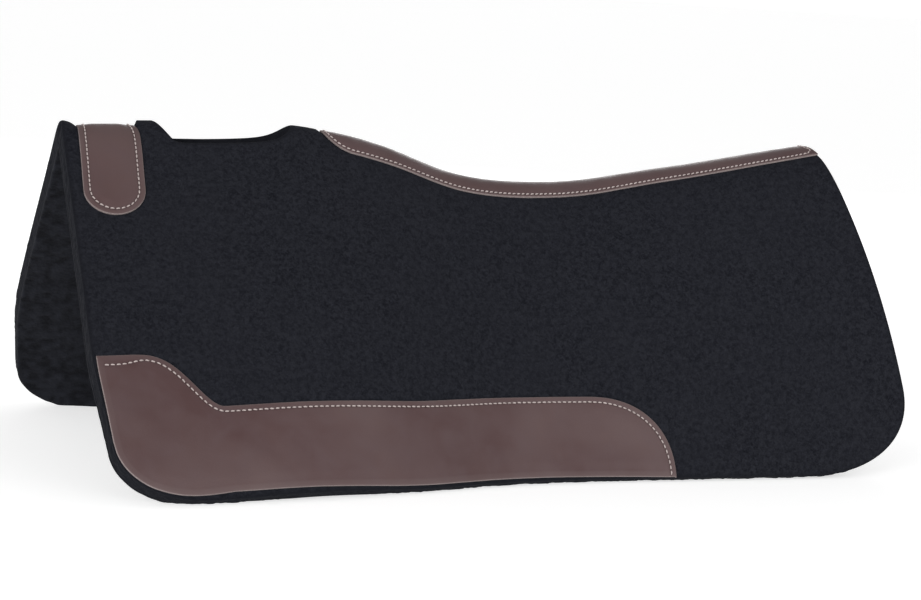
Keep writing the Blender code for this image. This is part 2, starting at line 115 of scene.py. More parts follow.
BACK = (X_GRID / SPINE_STATIONS[-1])[:, None]
ANGLE = flare(FLARE_FRONT, ARC)[None] * (1 - BACK) + flare(FLARE_REAR, ARC)[None] * BACK
SLOPE = np.radians(90 - ANGLE) * np.tanh(ARC[None] / (RIDGE_FRONT + RIDGE_GROWTH * X_GRID)[:, None])
ACROSS, DOWN = running_sum(np.cos(SLOPE)), running_sum(np.sin(SLOPE))


def spine_height(x):
    slopes = np.gradient(SPINE_HEIGHTS, SPINE_STATIONS)
    inside = np.clip(x, SPINE_STATIONS[0], SPINE_STATIONS[-1])
    i = np.clip(np.searchsorted(SPINE_STATIONS, inside, side="right"), 1, len(SPINE_STATIONS) - 1) - 1
    width = SPINE_STATIONS[i + 1] - SPINE_STATIONS[i]
    t = (inside - SPINE_STATIONS[i]) / width
    low, high = SPINE_HEIGHTS[i], SPINE_HEIGHTS[i + 1]
    height = low * (1 - t) ** 2 * (1 + 2 * t) + high * t**2 * (3 - 2 * t)
    height += width * (slopes[i] * t * (1 - t) ** 2 - slopes[i + 1] * t**2 * (1 - t))
    return height + slopes[-1] * (x - inside)


def look_up(table, rows, columns, x, u):
    """The table's value at x and u, between its neighbours."""
    i = np.clip(np.searchsorted(rows, x) - 1, 0, len(rows) - 2)
    j = np.clip(np.searchsorted(columns, u) - 1, 0, len(columns) - 2)
    a = (x - rows[i]) / (rows[i + 1] - rows[i])
    b = (u - columns[j]) / (columns[j + 1] - columns[j])
    low = table[i, j] * (1 - b) + table[i, j + 1] * b
    high = table[i + 1, j] * (1 - b) + table[i + 1, j + 1] * b
    return low * (1 - a) + high * a


def arcs_at(depth):
    """Where the face at this depth leaves the middle plane and meets the floor, for each row of X_GRID."""
    across = ACROSS - depth * np.sin(SLOPE)
    height = spine_height(X_GRID)[:, None] - DOWN - depth * np.cos(SLOPE)
    start = np.argmin(across, axis=1)
    first = [np.interp(0, row[k:], ARC[k:]) for row, k in zip(across, start)]
    floor = [np.interp(0, -row, ARC) for row in height]
    return np.array(first), np.array(floor)


DEPTHS = np.linspace(-0.006, 0.034, 41)
FIRST_ARC, FLOOR_ARC = (np.stack(rows, axis=1) for rows in zip(*(arcs_at(depth) for depth in DEPTHS)))


def place(x, v, depth, side=None, foot=0.0):
    """Points in space. side is -1 or 1 for a piece on one side, or None for one across the spine.

    foot is how far up from the floor, along the face, the lowest points stay.
    """
    x, v, depth = np.broadcast_arrays(x, v, depth)
    way = np.where(v < 0, -1, 1) if side is None else side
    first = look_up(FIRST_ARC, X_GRID, DEPTHS, x, np.clip(depth, 0, DEPTHS[-1]))
    low = look_up(FLOOR_ARC, X_GRID, DEPTHS, x, np.clip(depth, DEPTHS[0], DEPTHS[-1]))
    u = np.minimum((np.abs(v) ** 3 + first**3) ** (1 / 3), low - foot)
    slope = look_up(SLOPE, X_GRID, ARC, x, u)
    y = look_up(ACROSS, X_GRID, ARC, x, u) - depth * np.sin(slope)
    z = spine_height(x) - look_up(DOWN, X_GRID, ARC, x, u) - depth * np.cos(slope)
    apart = 0 if side is None else GAP / 2
    return np.stack([x + FRONT_X, way * (np.maximum(y, 0) + apart), z], axis=-1)


# ---------------------------------------------------------------- outlines


def front_edge(u):
    """The front edge: a little ahead of the spine's end, and running back below FRONT_TURN."""
    swept = FRONT_TURN_LENGTH * np.log1p(np.exp((u - FRONT_TURN) / FRONT_TURN_LENGTH))
    return FRONT_SWEEP * swept - FRONT_BOW * (1 - np.exp(-u / FRONT_BOW_DROP))


FRONT_X = BOX_FRONT - front_edge(ARC).min()


def rear_edge(u):
    return SPINE_LENGTH + REAR_SWEEP * u - REAR_BOW * u * u


STRAIGHT_HEM = arcs_at(HEM_REST * FELT)[1]


def straight_hem(x):
    """The hem with no round corners. Behind its front foot it bows up a little from the floor."""
    t = np.minimum(np.abs(x - HEM_RISE_MIDDLE) / HEM_RISE_HALF, 1)
    return np.interp(x, X_GRID, STRAIGHT_HEM) - HEM_RISE * (1 - t * t) ** 2


def corner(distance, size):
    """How far a round corner lifts the hem at this distance from the edge."""
    length, height = size
    t = np.clip(1 - distance / length, 0, 1)
    return height * (1 - (1 - t**CORNER_SQUARENESS) ** (1 / CORNER_SQUARENESS))


def hem_of_share(share):
    """The hem at this share of the way from the front edge to the rear edge, as (x, u)."""
    low = np.full_like(share, 0.3)
    for _ in range(30):
        front, rear = front_edge(low), rear_edge(low)
        x = front + share * (rear - front)
        reached = straight_hem(x) - corner(x - front, FRONT_CORNER) - corner(rear - x, REAR_CORNER)
        low = (low + reached) / 2
    return x, low


def cut_edge(x):
    """How far the cut-out over the withers reaches down the side."""
    front = np.maximum(CUT_FRONT_SLOPE * (x - CUT_START), 1e-9)
    rear = np.maximum(CUT_REAR_SLOPE * (CUT_END - x), 1e-9)
    squared = (1 / CUT_HALF_WIDTH) ** CUT_REAR_SQUARENESS + (1 / rear) ** CUT_REAR_SQUARENESS
    behind = squared ** (-1 / CUT_REAR_SQUARENESS)
    power = CUT_FRONT_SQUARENESS
    found = (behind**-power + front**-power) ** (-1 / power)
    return np.where((x > CUT_START) & (x < CUT_END), found, 0.0)


def resampled(points, spacing, closed=True):
    """The line's points at an even spacing."""
    line = np.concatenate([points, points[:1]]) if closed else np.asarray(points)
    length = np.concatenate([[0], np.cumsum(np.linalg.norm(np.diff(line, axis=0), axis=1))])
    count = max(int(round(length[-1] / spacing)), 8)
    at = np.linspace(0, length[-1], count + (not closed), endpoint=not closed)
    return np.stack([np.interp(at, length, line[:, k]) for k in range(line.shape[1])], axis=1)


def side_outline(spacing):
    """One side of felt, from the front of the spine back along it, and round by the rear edge and the hem."""
    cut = CUT_START + (CUT_END - CUT_START) * (1 - np.cos(np.linspace(0, np.pi, 400))) / 2
    bridge, behind = np.linspace(0, CUT_START, 40)[:-1], np.linspace(CUT_END, SPINE_LENGTH, 200)[1:]
    ridge = np.concatenate([bridge, cut, behind])
    share = (1 - np.cos(np.linspace(0, np.pi, 800))) / 2
    hem_x, hem_u = hem_of_share(share[::-1])
    rear = np.linspace(0, hem_u[0], 120)[1:-1]
    front = np.linspace(hem_u[-1], 0, 120)[1:-1]
    line = [np.stack([ridge, cut_edge(ridge)], 1), np.stack([rear_edge(rear), rear], 1),
            np.stack([hem_x, hem_u], 1), np.stack([front_edge(front), front], 1)]
    return resampled(np.concatenate(line), spacing)


def smooth_step(t):
    t = np.clip(t, 0, 1)
    return t * t * (3 - 2 * t)


def wear_height(x):
    """Height of the wear leather's top edge above the hem."""
    first, last = WEAR_STEP
    begin, end = WEAR_ROUND
    low = WEAR_HEIGHT - WEAR_TAPER * (x - last)
    step = smooth_step((x - first) / (last - first)) ** WEAR_STEP_POWER
    t = np.clip((x - begin) / (end - begin), 0, 1)
    return (WEAR_FRONT_HEIGHT * (1 - step) + low * step) * (1 - t**WEAR_SQUARENESS) ** (1 / WEAR_SQUARENESS)


def along_front(x, u):
    """A point drawn for a straight front edge, moved with the real one and less so farther back."""
    return x + front_edge(u) * np.clip(1 - x / WEAR_STEP[1], 0, 1)


def wear_top():
    """The wear leather's top edge from the front edge round to the hem."""
    begin, end = WEAR_ROUND
    turn = np.linspace(0, np.pi / 2, 80)[1:]
    straight = np.linspace(EDGE_MARGIN + WEAR_FRONT_MARGIN, begin, 300)
    x = np.concatenate([straight, begin + (end - begin) * np.sin(turn)])
    line = np.stack([x, straight_hem(x) - wear_height(x)], 1)
    line[:, 0] = along_front(line[:, 0], line[:, 1])
    return line


def wear_row():
    """The wear leather's row of stitching: its top edge moved in, and farther in at the front."""
    line = wear_top()
    ahead = np.gradient(line, axis=0)
    ahead /= np.linalg.norm(ahead, axis=1, keepdims=True)
    near, far = WEAR_DIP_ENDS
    inset = WEAR_INSET + WEAR_DIP * (1 - smooth_step((line[:, :1] - near) / (far - near)))
    return (line + inset * np.stack([-ahead[:, 1], ahead[:, 0]], 1))[3:]


def wear_outline(spacing):
    x, u = hem_of_share(np.linspace(0, 0.75, 800)[::-1])
    keep = x < WEAR_ROUND[1]
    margin = np.interp(x[keep], MARGIN_STATIONS, HEM_MARGINS)
    low = np.stack([x[keep] + margin * corner_share(x[keep]), u[keep] - margin], 1)
    top = wear_top()
    rise = np.linspace(0, 1, 60)[1:-1]
    front_u = low[-1, 1] + (top[0, 1] - low[-1, 1]) * rise
    front = np.stack([front_edge(front_u) + EDGE_MARGIN + WEAR_FRONT_MARGIN * rise, front_u], 1)
    return resampled(np.concatenate([top, low, front]), spacing)


def corner_share(x):
    return np.clip(1 - x / FRONT_CORNER[0], 0, 1)


def strap_centre(v):
    """The middle of the wither strap, whose ends lean towards the front, as does its top over the ridge."""
    return STRAP_MIDDLE - STRAP_LEAN * np.abs(v) - STRAP_NUDGE * np.exp(-((v / STRAP_NUDGE_DROP) ** 2))


def strap_waist(v):
    """How far the wither strap's edges draw in where it is pulled down over the ridge."""
    return STRAP_WAIST * np.exp(-((v / STRAP_WAIST_DROP) ** 2))


def strap_outline(inset, spacing):
    half, drop = STRAP_HALF - inset, STRAP_DROP - inset
    turn = np.linspace(0, np.pi, 60)
    straight = drop - half
    upper = np.stack([half * np.cos(turn), straight + half * np.sin(turn)], 1)
    v = np.linspace(straight, -straight, 60)[1:-1]
    side = np.stack([strap_waist(v) - half, v], 1)
    line = np.concatenate([upper, side, -upper, -side])
    line[:, 0] += strap_centre(line[:, 1])
    return resampled(line, spacing)


def strip_half(x):
    """Half the spine strip's width, which narrows towards the rear."""
    return STRIP_HALF - STRIP_TAPER * np.maximum(x - STRIP_START - STRIP_HALF, 0)


def strip_outline(inset, rear_inset, radius, spacing):
    """The spine strip moved in by inset: round in front, and square with small round corners at the rear."""
    half = STRIP_HALF - inset
    begin = STRIP_START + STRIP_HALF
    turn = np.linspace(np.pi / 2, 3 * np.pi / 2, 50)
    front = np.stack([begin + half * np.cos(turn), half * np.sin(turn)], 1)
    rear_half = strip_half(SPINE_LENGTH) - inset
    rear_x = rear_edge(rear_half) - EDGE_MARGIN - rear_inset
    bend = np.linspace(-np.pi / 2, 0, 16)
    bent = np.stack([rear_x - radius + radius * np.cos(bend), radius - rear_half + radius * np.sin(bend)], 1)
    v = np.linspace(bent[-1, 1], 0, 20)[1:]
    middle = np.stack([rear_edge(np.abs(v)) - EDGE_MARGIN - rear_inset, v], 1)
    low_x = np.linspace(begin, bent[0, 0], 60)[1:-1]
    lower = np.concatenate([np.stack([low_x, inset - strip_half(low_x)], 1), bent, middle])
    return resampled(np.concatenate([front, lower, (lower * (1, -1))[::-1][1:]]), spacing)


# ---------------------------------------------------------------- noise


def noise(x, y, scale, seed):
    """Smooth noise from -1 to 1, whose bumps are about scale metres across."""
    table = np.random.RandomState(seed).rand(256, 256) * 2 - 1
    px, py = x / scale + 1000.5, y / scale + 1000.5
    i, j = np.floor(px).astype(int), np.floor(py).astype(int)
    a, b = smooth_step(px - i), smooth_step(py - j)
    corners = [table[(i + p) % 256, (j + q) % 256] for p in (0, 1) for q in (0, 1)]
    return (corners[0] * (1 - a) * (1 - b) + corners[1] * (1 - a) * b
            + corners[2] * a * (1 - b) + corners[3] * a * b)


# ---------------------------------------------------------------- meshes


ROW_STEP = 0.866  # distance between a hexagonal grid's rows, for a spacing of 1
RING_ROOM = 0.97  # share of its inset that a ring's point has to be from the outline
GRID_ROOM = 0.6  # share of the spacing that the grid's points keep from the last ring


def points_tree(points):
    tree = KDTree(len(points))
    for i, p in enumerate(points):
        tree.insert((*p, 0), i)
    tree.balance()
    return tree


def nearest_points(tree, points):
    """The index of the tree's point nearest to each of these, and the distance to it."""
    found = [tree.find((*p, 0)) for p in points]
    return np.array([f[1] for f in found]), np.array([f[2] for f in found])


def hexagonal_grid(low, high, spacing):
    rows = []
    for k, v in enumerate(np.arange(low[1], high[1], spacing * ROW_STEP)):
        x = np.arange(low[0] + spacing / 2 * (k % 2), high[0], spacing)
        rows.append(np.stack([x, np.full(len(x), v)], 1))
    return np.concatenate(rows)


class Patch:
    """A triangulated piece of pattern: rings of points along its outline, and a hexagonal grid inside.

    distance is each point's distance from the outline, and nearest the outline's point closest to it.
    """

    def __init__(self, outline, insets, spacing):
        self.outline = outline if signed_area(outline) > 0 else outline[::-1]
        tree = points_tree(self.outline)
        ahead = np.roll(self.outline, -1, 0) - np.roll(self.outline, 1, 0)
        ahead /= np.linalg.norm(ahead, axis=1, keepdims=True)
        self.inward = np.stack([-ahead[:, 1], ahead[:, 0]], 1)
        parts = [(self.outline, np.zeros(len(outline)), np.arange(len(outline)))]
        for inset in insets:
            ring = self.outline + self.inward * inset
            nearest, away = nearest_points(tree, ring)
            keep = away > inset * RING_ROOM
            parts.append((ring[keep], np.full(keep.sum(), inset), nearest[keep]))
        grid = hexagonal_grid(self.outline.min(0), self.outline.max(0), spacing)
        nearest, away = nearest_points(tree, grid)
        keep = away > insets[-1] + spacing * GRID_ROOM
        parts.append((grid[keep], away[keep], nearest[keep]))
        self.triangulate(*(np.concatenate(values) for values in zip(*parts)))

    def triangulate(self, points, distance, nearest):
        vectors = [Vector(p) for p in points.tolist()]
        border = list(range(len(self.outline)))
        made = delaunay_2d_cdt(vectors, [], [border], 0, 1e-7, True)
        if len(made[0]) != len(points):
            raise ValueError("two points of a patch coincide")
        faces = np.array([face for face, inside in zip(made[2], made[5]) if inside])
        used, numbers = np.unique(faces, return_inverse=True)
        self.faces = numbers.reshape(faces.shape)
        self.points, self.distance, self.nearest = points[used], distance[used], nearest[used]


def signed_area(line):
    nxt = np.roll(line, -1, 0)
    return (line[:, 0] * nxt[:, 1] - nxt[:, 0] * line[:, 1]).sum() / 2


def mesh_object(name, points, faces, attributes, material):
    """A smooth-shaded mesh. faces is a list of integer arrays, each with its own number of corners."""
    mesh = bpy.data.meshes.new(name)
    mesh.vertices.add(len(points))
    mesh.vertices.foreach_set("co", np.asarray(points, np.float32).ravel())
    corners = np.concatenate([f.ravel() for f in faces])
    sizes = np.concatenate([np.full(len(f), f.shape[1]) for f in faces])
    mesh.loops.add(len(corners))
    mesh.loops.foreach_set("vertex_index", corners.astype(np.int32))
    mesh.polygons.add(len(sizes))
    mesh.polygons.foreach_set("loop_start", (np.cumsum(sizes) - sizes).astype(np.int32))
    for key, values in attributes.items():
        layer = mesh.attributes.new(key, "FLOAT", "POINT")
        layer.data.foreach_set("value", np.asarray(values, np.float32))
    mesh.update(calc_edges=True)
    mesh.validate()
    mesh.shade_smooth()
    mesh.materials.append(material)
    obj = bpy.data.objects.new(name, mesh)
    bpy.context.collection.objects.link(obj)
    return obj


def shell(name, front, back, front_points, back_points, walls, attributes, material, flip):
    """A closed body: two patches with the same outline, joined by rows of wall points between them."""
    n, m, k = len(front.outline), len(front_points), len(back_points)
    rows = [np.arange(n)]
    rows += [m + k + n * i + np.arange(n) for i in range(len(walls))]
    rows += [m + np.arange(n)]
    quads = []
    for first, second in zip(rows, rows[1:]):
        nxt = np.roll(np.arange(n), -1)
        quads.append(np.stack([first, second, second[nxt], first[nxt]], 1))
    faces = [front.faces, back.faces[:, ::-1] + m, np.concatenate(quads)]
    if flip:
        faces = [f[:, ::-1] for f in faces]
    points = np.concatenate([front_points, back_points, *walls])
    return mesh_object(name, points, faces, attributes, material)


def unit(vectors):
    return vectors / np.linalg.norm(vectors, axis=-1, keepdims=True)


def tubes(name, centre, across, above, radius, turn, material):
    """Tubes closed at both ends. centre holds each tube's points, and radius a value for each turn."""
    ring = np.cos(turn)[:, None] * across[..., None, :] + np.sin(turn)[:, None] * above[..., None, :]
    points = centre[..., None, :] + radius[..., None] * ring
    index = np.arange(points.size // 3).reshape(points.shape[:3])
    nxt = np.roll(index, -1, axis=2)
    quads = np.stack([index[:, :-1], nxt[:, :-1], nxt[:, 1:], index[:, 1:]], -1).reshape(-1, 4)
    faces = [quads, index[:, 0, ::-1], index[:, -1]]
    return mesh_object(name, points.reshape(-1, 3), faces, {}, material)


def quarter_round(distance, radius):
    """How far a rounded edge has fallen at this distance from the outline."""
    inside = np.clip(radius - distance, 0, radius)
    return radius - np.sqrt(np.maximum(radius**2 - inside**2, 0))


def round_insets(radius, steps):
    return [radius * (1 - math.cos(math.pi / 2 * i / steps)) for i in range(1, steps + 1)]


# ---------------------------------------------------------------- leather and the felt under it

STRAP_PRESS, STRAP_RIDGE_PRESS, STRAP_RIDGE = 1.7 * MM, 5.0 * MM, 26 * MM
STRIP_PRESS, STRIP_FRONT_PRESS, STRIP_FRONT = 0.3 * MM, 2.2 * MM, 30 * MM
WEAR_PRESS = 1.0 * MM
STRAP_REACH_FRONT, STRAP_REACH_POWER, STRAP_REACH_BACK = 17 * MM, 2.5, 3.0 * MM
LEATHER_REACH = 6 * MM


def strap_distance(x, v):
    """Distance outside the wither strap's edge, less than nought inside it."""
    past = np.maximum(np.abs(v) - (STRAP_DROP - STRAP_HALF), 0)
    return np.hypot(x - strap_centre(v), past) - STRAP_HALF + strap_waist(v)


def strip_distance(x, v):
    before = np.maximum(STRIP_START + STRIP_HALF - x, 0)
    return np.hypot(before, v) - strip_half(x)


def wear_distance(x, u):
    """Distance above the wear leather's top edge, less than nought below it."""
    line = resampled(wear_top(), 1.5 * MM, closed=False)
    below = (u > straight_hem(x) - wear_height(x)) & (x < WEAR_ROUND[1])
    near = u > line[:, 1].min() - 2 * LEATHER_REACH
    away = np.full(len(x), 1.0)
    away[near] = nearest_points(points_tree(line), np.stack([x[near], u[near]], 1))[1]
    return np.where(below, -away, away)


def fading(distance, reach):
    return 1 - smooth_step(np.maximum(distance, 0) / reach)


def strap_press(x, v):
    return STRAP_PRESS + STRAP_RIDGE_PRESS * np.exp(-((v / STRAP_RIDGE) ** 2))


def strip_press(x):
    """The spine strip's front end is sewn down level with the felt."""
    return STRIP_PRESS + STRIP_FRONT_PRESS * np.exp(-((np.maximum(x - STRIP_START, 0) / STRIP_FRONT) ** 2))


def felt_press(x, u):
    """How far the leather holds the felt's outer face in."""
    outside = np.maximum(strap_distance(x, u), 0)
    before = np.maximum(1 - outside / STRAP_REACH_FRONT, 0) ** STRAP_REACH_POWER
    share = np.where(x < strap_centre(u), before, fading(outside, STRAP_REACH_BACK))
    strap = strap_press(x, u) * share
    strip = strip_press(x) * fading(strip_distance(x, u), LEATHER_REACH)
    wear = WEAR_PRESS * fading(wear_distance(x, u), LEATHER_REACH)
    return np.maximum(np.maximum(strap, strip), wear)


# ---------------------------------------------------------------- materials


class Tree:
    """A material's nodes, with short calls to add and link them."""

    def __init__(self, name, roughness, specular):
        self.material = bpy.data.materials.new(name)
        self.material.use_nodes = True
        self.nodes = self.material.node_tree.nodes
        self.links = self.material.node_tree.links
        self.shader = self.nodes["Principled BSDF"]
        self.set(self.shader, {"Roughness": roughness, "Specular IOR Level": specular, "Metallic": 0.0})
        self.object = self.nodes.new("ShaderNodeTexCoord").outputs["Object"]

    def set(self, node, values):
        for key, value in values.items():
            socket = node.inputs[key]
            if isinstance(value, bpy.types.NodeSocket):
                self.links.new(value, socket)
            else:
                socket.default_value = value

    def noise(self, scale, detail=2.0, distortion=0.0, stretch=(1, 1, 1)):
        place = self.nodes.new("ShaderNodeMapping")
        self.set(place, {"Vector": self.object, "Scale": stretch})
        made = self.nodes.new("ShaderNodeTexNoise")
        self.set(made, {"Vector": place.outputs[0], "Scale": scale, "Detail": detail})
        self.set(made, {"Distortion": distortion})
        return made.outputs["Fac"]

    def cells(self, scale, feature="F1"):
        made = self.nodes.new("ShaderNodeTexVoronoi")
        made.feature = feature
        self.set(made, {"Vector": self.object, "Scale": scale})
        return made.outputs["Distance"]

    def attribute(self, name):
        made = self.nodes.new("ShaderNodeAttribute")
        made.attribute_name = name
        return made.outputs["Fac"]

    def ramp(self, factor, low, high, start=0.0, end=1.0):
        """factor taken from between low and high to between start and end."""
        made = self.nodes.new("ShaderNodeMapRange")
        self.set(made, {"Value": factor, "From Min": low, "From Max": high, "To Min": start, "To Max": end})
        return made.outputs["Result"]

    def sum(self, first, second, operation="ADD"):
        made = self.nodes.new("ShaderNodeMath")
        made.operation = operation
        for socket, value in zip(made.inputs, (first, second)):
            if isinstance(value, bpy.types.NodeSocket):
                self.links.new(value, socket)
            else:
                socket.default_value = value
        return made.outputs[0]

    def mix(self, factor, first, second):
        """Two colours mixed by the factor."""
        made = self.nodes.new("ShaderNodeMix")
        made.data_type = "RGBA"
        values = {0: factor, 6: first, 7: second}
        for i, value in values.items():
            if isinstance(value, bpy.types.NodeSocket):
                self.links.new(value, made.inputs[i])
            else:
                made.inputs[i].default_value = (*value, 1) if isinstance(value, tuple) else value
        return made.outputs[2]

    def bump(self, height, distance, strength=1.0, normal=None):
        made = self.nodes.new("ShaderNodeBump")
        self.set(made, {"Height": height, "Distance": distance, "Strength": strength})
        if normal:
            self.set(made, {"Normal": normal})
        return made.outputs[0]


def felt_material(name, colour, pale, edge_shade_colour):
    """Pressed wool: near black, mottled, with short matted fibres, and painted shade that darkens its cut
    edge.
    """
    tree = Tree(name, 0.95, 0.05)
    clots = tree.ramp(tree.noise(230, 3, 0.6), 0.36, 0.66)
    specks = tree.ramp(tree.noise(620, 2, 1.0), 0.45, 0.72)
    patches = tree.ramp(tree.noise(14, 3, 0.4), 0.32, 0.68)
    base = tree.mix(clots, colour, pale)
    base = tree.mix(tree.ramp(specks, 0, 1, 0, 0.55), base, tuple(1.7 * c for c in pale))
    base = tree.mix(tree.ramp(patches, 0, 1, 0, 0.30), base, pale)
    # painted shade: the cut edge and a band along the outline are mixed towards a darker colour
    edge = tree.attribute("edge")
    base = tree.mix(tree.ramp(edge, 0, 1, 0, 0.8), base, edge_shade_colour)
    fibres = tree.noise(2600, 2, 1.6)
    strands = tree.noise(700, 3, 2.5, (1, 1, 0.35))
    base = tree.mix(tree.ramp(fibres, 0.42, 0.7, 0, 0.35), base, pale)
    fine = tree.bump(fibres, 0.25 * MM, 0.5)
    medium = tree.bump(strands, 0.6 * MM, 0.65, fine)
    coarse = tree.bump(tree.noise(210, 3, 0.8), 1.0 * MM, 0.7, medium)
    roughness = tree.ramp(strands, 0.3, 0.7, 0.88, 0.99)
    tree.set(tree.shader, {"Base Color": base, "Normal": coarse, "Roughness": roughness,
                           "Sheen Weight": 0.02, "Sheen Roughness": 0.5, "Sheen Tint": (0.6, 0.63, 0.75, 1)})
    return tree.material


def fleece_material():
    """Curly wool pile, with painted shade that makes its hollows blacker than the felt."""
    tree = Tree("fleece", 0.96, 0.08)
    height = tree.attribute("height")
    curl = tree.noise(900, 3, 3.0)
    clumps = tree.cells(260)
    # painted shade: the low hollows of the pile get a much darker colour than its tips
    base = tree.mix(tree.ramp(height, 0.25, 0.85), (0.0025, 0.0027, 0.0036), (0.0130, 0.0140, 0.0185))
    base = tree.mix(tree.ramp(curl, 0.4, 0.75, 0, 0.6), base, (0.019, 0.020, 0.026))
    fine = tree.bump(curl, 0.5 * MM, 0.8)
    coarse = tree.bump(clumps, 0.9 * MM, 0.7, fine)
    roughness = tree.ramp(curl, 0.3, 0.7, 0.9, 1.0)
    tree.set(tree.shader, {"Base Color": base, "Normal": coarse, "Roughness": roughness,
                           "Sheen Weight": 0.03, "Sheen Roughness": 0.5, "Sheen Tint": (0.6, 0.62, 0.7, 1)})
    return tree.material


def leather_material():
    """Chrome-tanned leather: satin dark brown with a greyish bloom, fine grain, and pale raw edges."""
    tree = Tree("leather", 0.5, 0.24)
    clouds = tree.ramp(tree.noise(9, 2, 0.5), 0.32, 0.68)
    patches = tree.ramp(tree.noise(38, 3, 0.4), 0.34, 0.7)
    base = tree.mix(clouds, (0.072, 0.039, 0.039), (0.100, 0.064, 0.063))
    base = tree.mix(tree.ramp(patches, 0, 1, 0, 0.55), base, (0.092, 0.060, 0.062))
    pores = tree.cells(1300)
    base = tree.mix(tree.ramp(pores, 0.02, 0.25, 0.35, 0.0), base, (0.034, 0.018, 0.018))
    rubbed = tree.attribute("rubbed")
    base = tree.mix(tree.ramp(rubbed, 0, 1, 0, 0.5), base, (0.125, 0.092, 0.090))
    # painted shade: the leather is darkened in the groove under its row of stitching
    groove = tree.attribute("groove")
    base = tree.mix(tree.ramp(groove, 0, 1, 0, 0.5), base, (0.042, 0.026, 0.026))
    edge = tree.attribute("edge")
    fibres = tree.noise(1500, 2)
    raw = tree.mix(tree.ramp(fibres, 0.35, 0.65), (0.16, 0.128, 0.124), (0.30, 0.250, 0.240))
    base = tree.mix(edge, base, raw)
    grain = tree.cells(1500, "SMOOTH_F1")
    creases = tree.noise(420, 3, 0.8)
    fine = tree.bump(grain, 0.12 * MM, 0.35)
    coarse = tree.bump(creases, 0.2 * MM, 0.3, fine)
    gloss = tree.ramp(tree.noise(55, 3), 0.3, 0.7, 0.35, 0.50)
    roughness = tree.sum(gloss, tree.ramp(edge, 0, 1, 0, 0.4))
    tree.set(tree.shader, {"Base Color": base, "Normal": coarse, "Roughness": roughness,
                           "Sheen Weight": 0.02, "Sheen Roughness": 0.5})
    return tree.material


def thread_material(name, dark, pale):
    """Twisted thread with a soft shine."""
    tree = Tree(name, 0.6, 0.4)
    strands = tree.noise(2200, 2, 0.5)
    base = tree.mix(tree.ramp(strands, 0.3, 0.7), dark, pale)
    base = tree.mix(tree.ramp(tree.noise(60, 1), 0.35, 0.65, 0, 0.3), base, dark)
    bump = tree.bump(strands, 0.12 * MM, 0.6)
    roughness = tree.ramp(strands, 0.3, 0.7, 0.55, 0.75)
    tree.set(tree.shader, {"Base Color": base, "Normal": bump, "Roughness": roughness,
                           "Sheen Weight": 0.1, "Sheen Roughness": 0.4})
    return tree.material


def tape_material():
    """Cotton twill tape, woven on the slant."""
    tree = Tree("tape", 0.85, 0.3)
    twill = tree.nodes.new("ShaderNodeTexWave")
    twill.bands_direction = "DIAGONAL"
    tree.set(twill, {"Vector": tree.object, "Scale": 220.0, "Distortion": 0.6, "Detail": 1.0})
    weave = twill.outputs["Fac"]
    base = tree.mix(weave, (0.008, 0.008, 0.010), (0.022, 0.022, 0.027))
    tree.set(tree.shader, {"Base Color": base, "Normal": tree.bump(weave, 0.3 * MM, 0.7),
                           "Roughness": tree.ramp(weave, 0, 1, 0.78, 0.92)})
    return tree.material


FELT_COLOUR = (0.0046, 0.0051, 0.0076)
FELT_PALE = (0.0156, 0.0164, 0.0212)
# painted shade: a colour darker than the felt's face, used on its cut edge
FELT_EDGE_SHADE = (0.0064, 0.0068, 0.0090)
FELT_MATERIAL = felt_material("felt", FELT_COLOUR, FELT_PALE, FELT_EDGE_SHADE)
FLEECE_MATERIAL = fleece_material()
LEATHER_MATERIAL = leather_material()
PALE_THREAD = thread_material("pale_thread", (0.31, 0.255, 0.247), (0.54, 0.465, 0.448))
DARK_THREAD = thread_material("dark_thread", (0.020, 0.020, 0.024), (0.045, 0.045, 0.052))
TAPE_MATERIAL = tape_material()


# ---------------------------------------------------------------- pieces


def declare(piece, node):
    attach(piece, "root")
    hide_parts(node)


FELT_ROUND = 1.5 * MM
FELT_SPINE_ROUND, FELT_ROUND_RISE = 0.12, 12 * MM  # share of the rounding at the spine, and where it is whole
FELT_SWELLS = ((0.45 * MM, 0.055), (0.16 * MM, 0.014), (0.08 * MM, 0.005))  # height and size of the bumps
FELT_FLAT_EDGE = 20 * MM  # distance from the outline over which the bumps grow to their full height
EDGE_BAND = 4 * MM  # width of the band along the outline that gets the cut edge's painted shade
EDGE_CLUMPS, EDGE_FIBRES = (0.9 * MM, 0.008), (0.6 * MM, 0.0034)  # height and size of the cut edge's bumps
EDGE_BULGE = 0.2 * MM
WALL_ROWS = 12


def felt_depth(patch, base, way, seed):
    """Depth of one of the felt's faces. Its edge is round, but nearly sharp where the two sides meet."""
    x, u = patch.points.T
    roundness = np.clip(patch.outline[:, 1] / FELT_ROUND_RISE, FELT_SPINE_ROUND, 1)
    fall = quarter_round(patch.distance, FELT_ROUND) * roundness[patch.nearest]
    swell = sum(height * noise(x, u, size, seed + i) for i, (height, size) in enumerate(FELT_SWELLS))
    return base + way * (fall - swell * smooth_step(patch.distance / FELT_FLAT_EDGE))


def felt_walls(front, outer, inner, side, seed):
    """Rows of points down the felt's rough cut edge, between the depths of its two faces."""
    ring = front.outline
    walls, drift = [], running_length(ring)
    for row in range(1, WALL_ROWS):
        t = row / WALL_ROWS
        depth = outer * (1 - t) + inner * t
        clumps = EDGE_CLUMPS[0] * noise(drift, depth + 5, EDGE_CLUMPS[1], seed)
        fibres = EDGE_FIBRES[0] * noise(drift, depth * 2 + 7, EDGE_FIBRES[1], seed + 1)
        middle = math.sin(math.pi * t)
        out = (clumps + fibres) * middle**0.35 - EDGE_BULGE * middle
        moved = ring + front.inward * (out * free_edge(ring))[:, None]
        walls.append(place(moved[:, 0], np.maximum(moved[:, 1], 0), depth, side))
    return walls


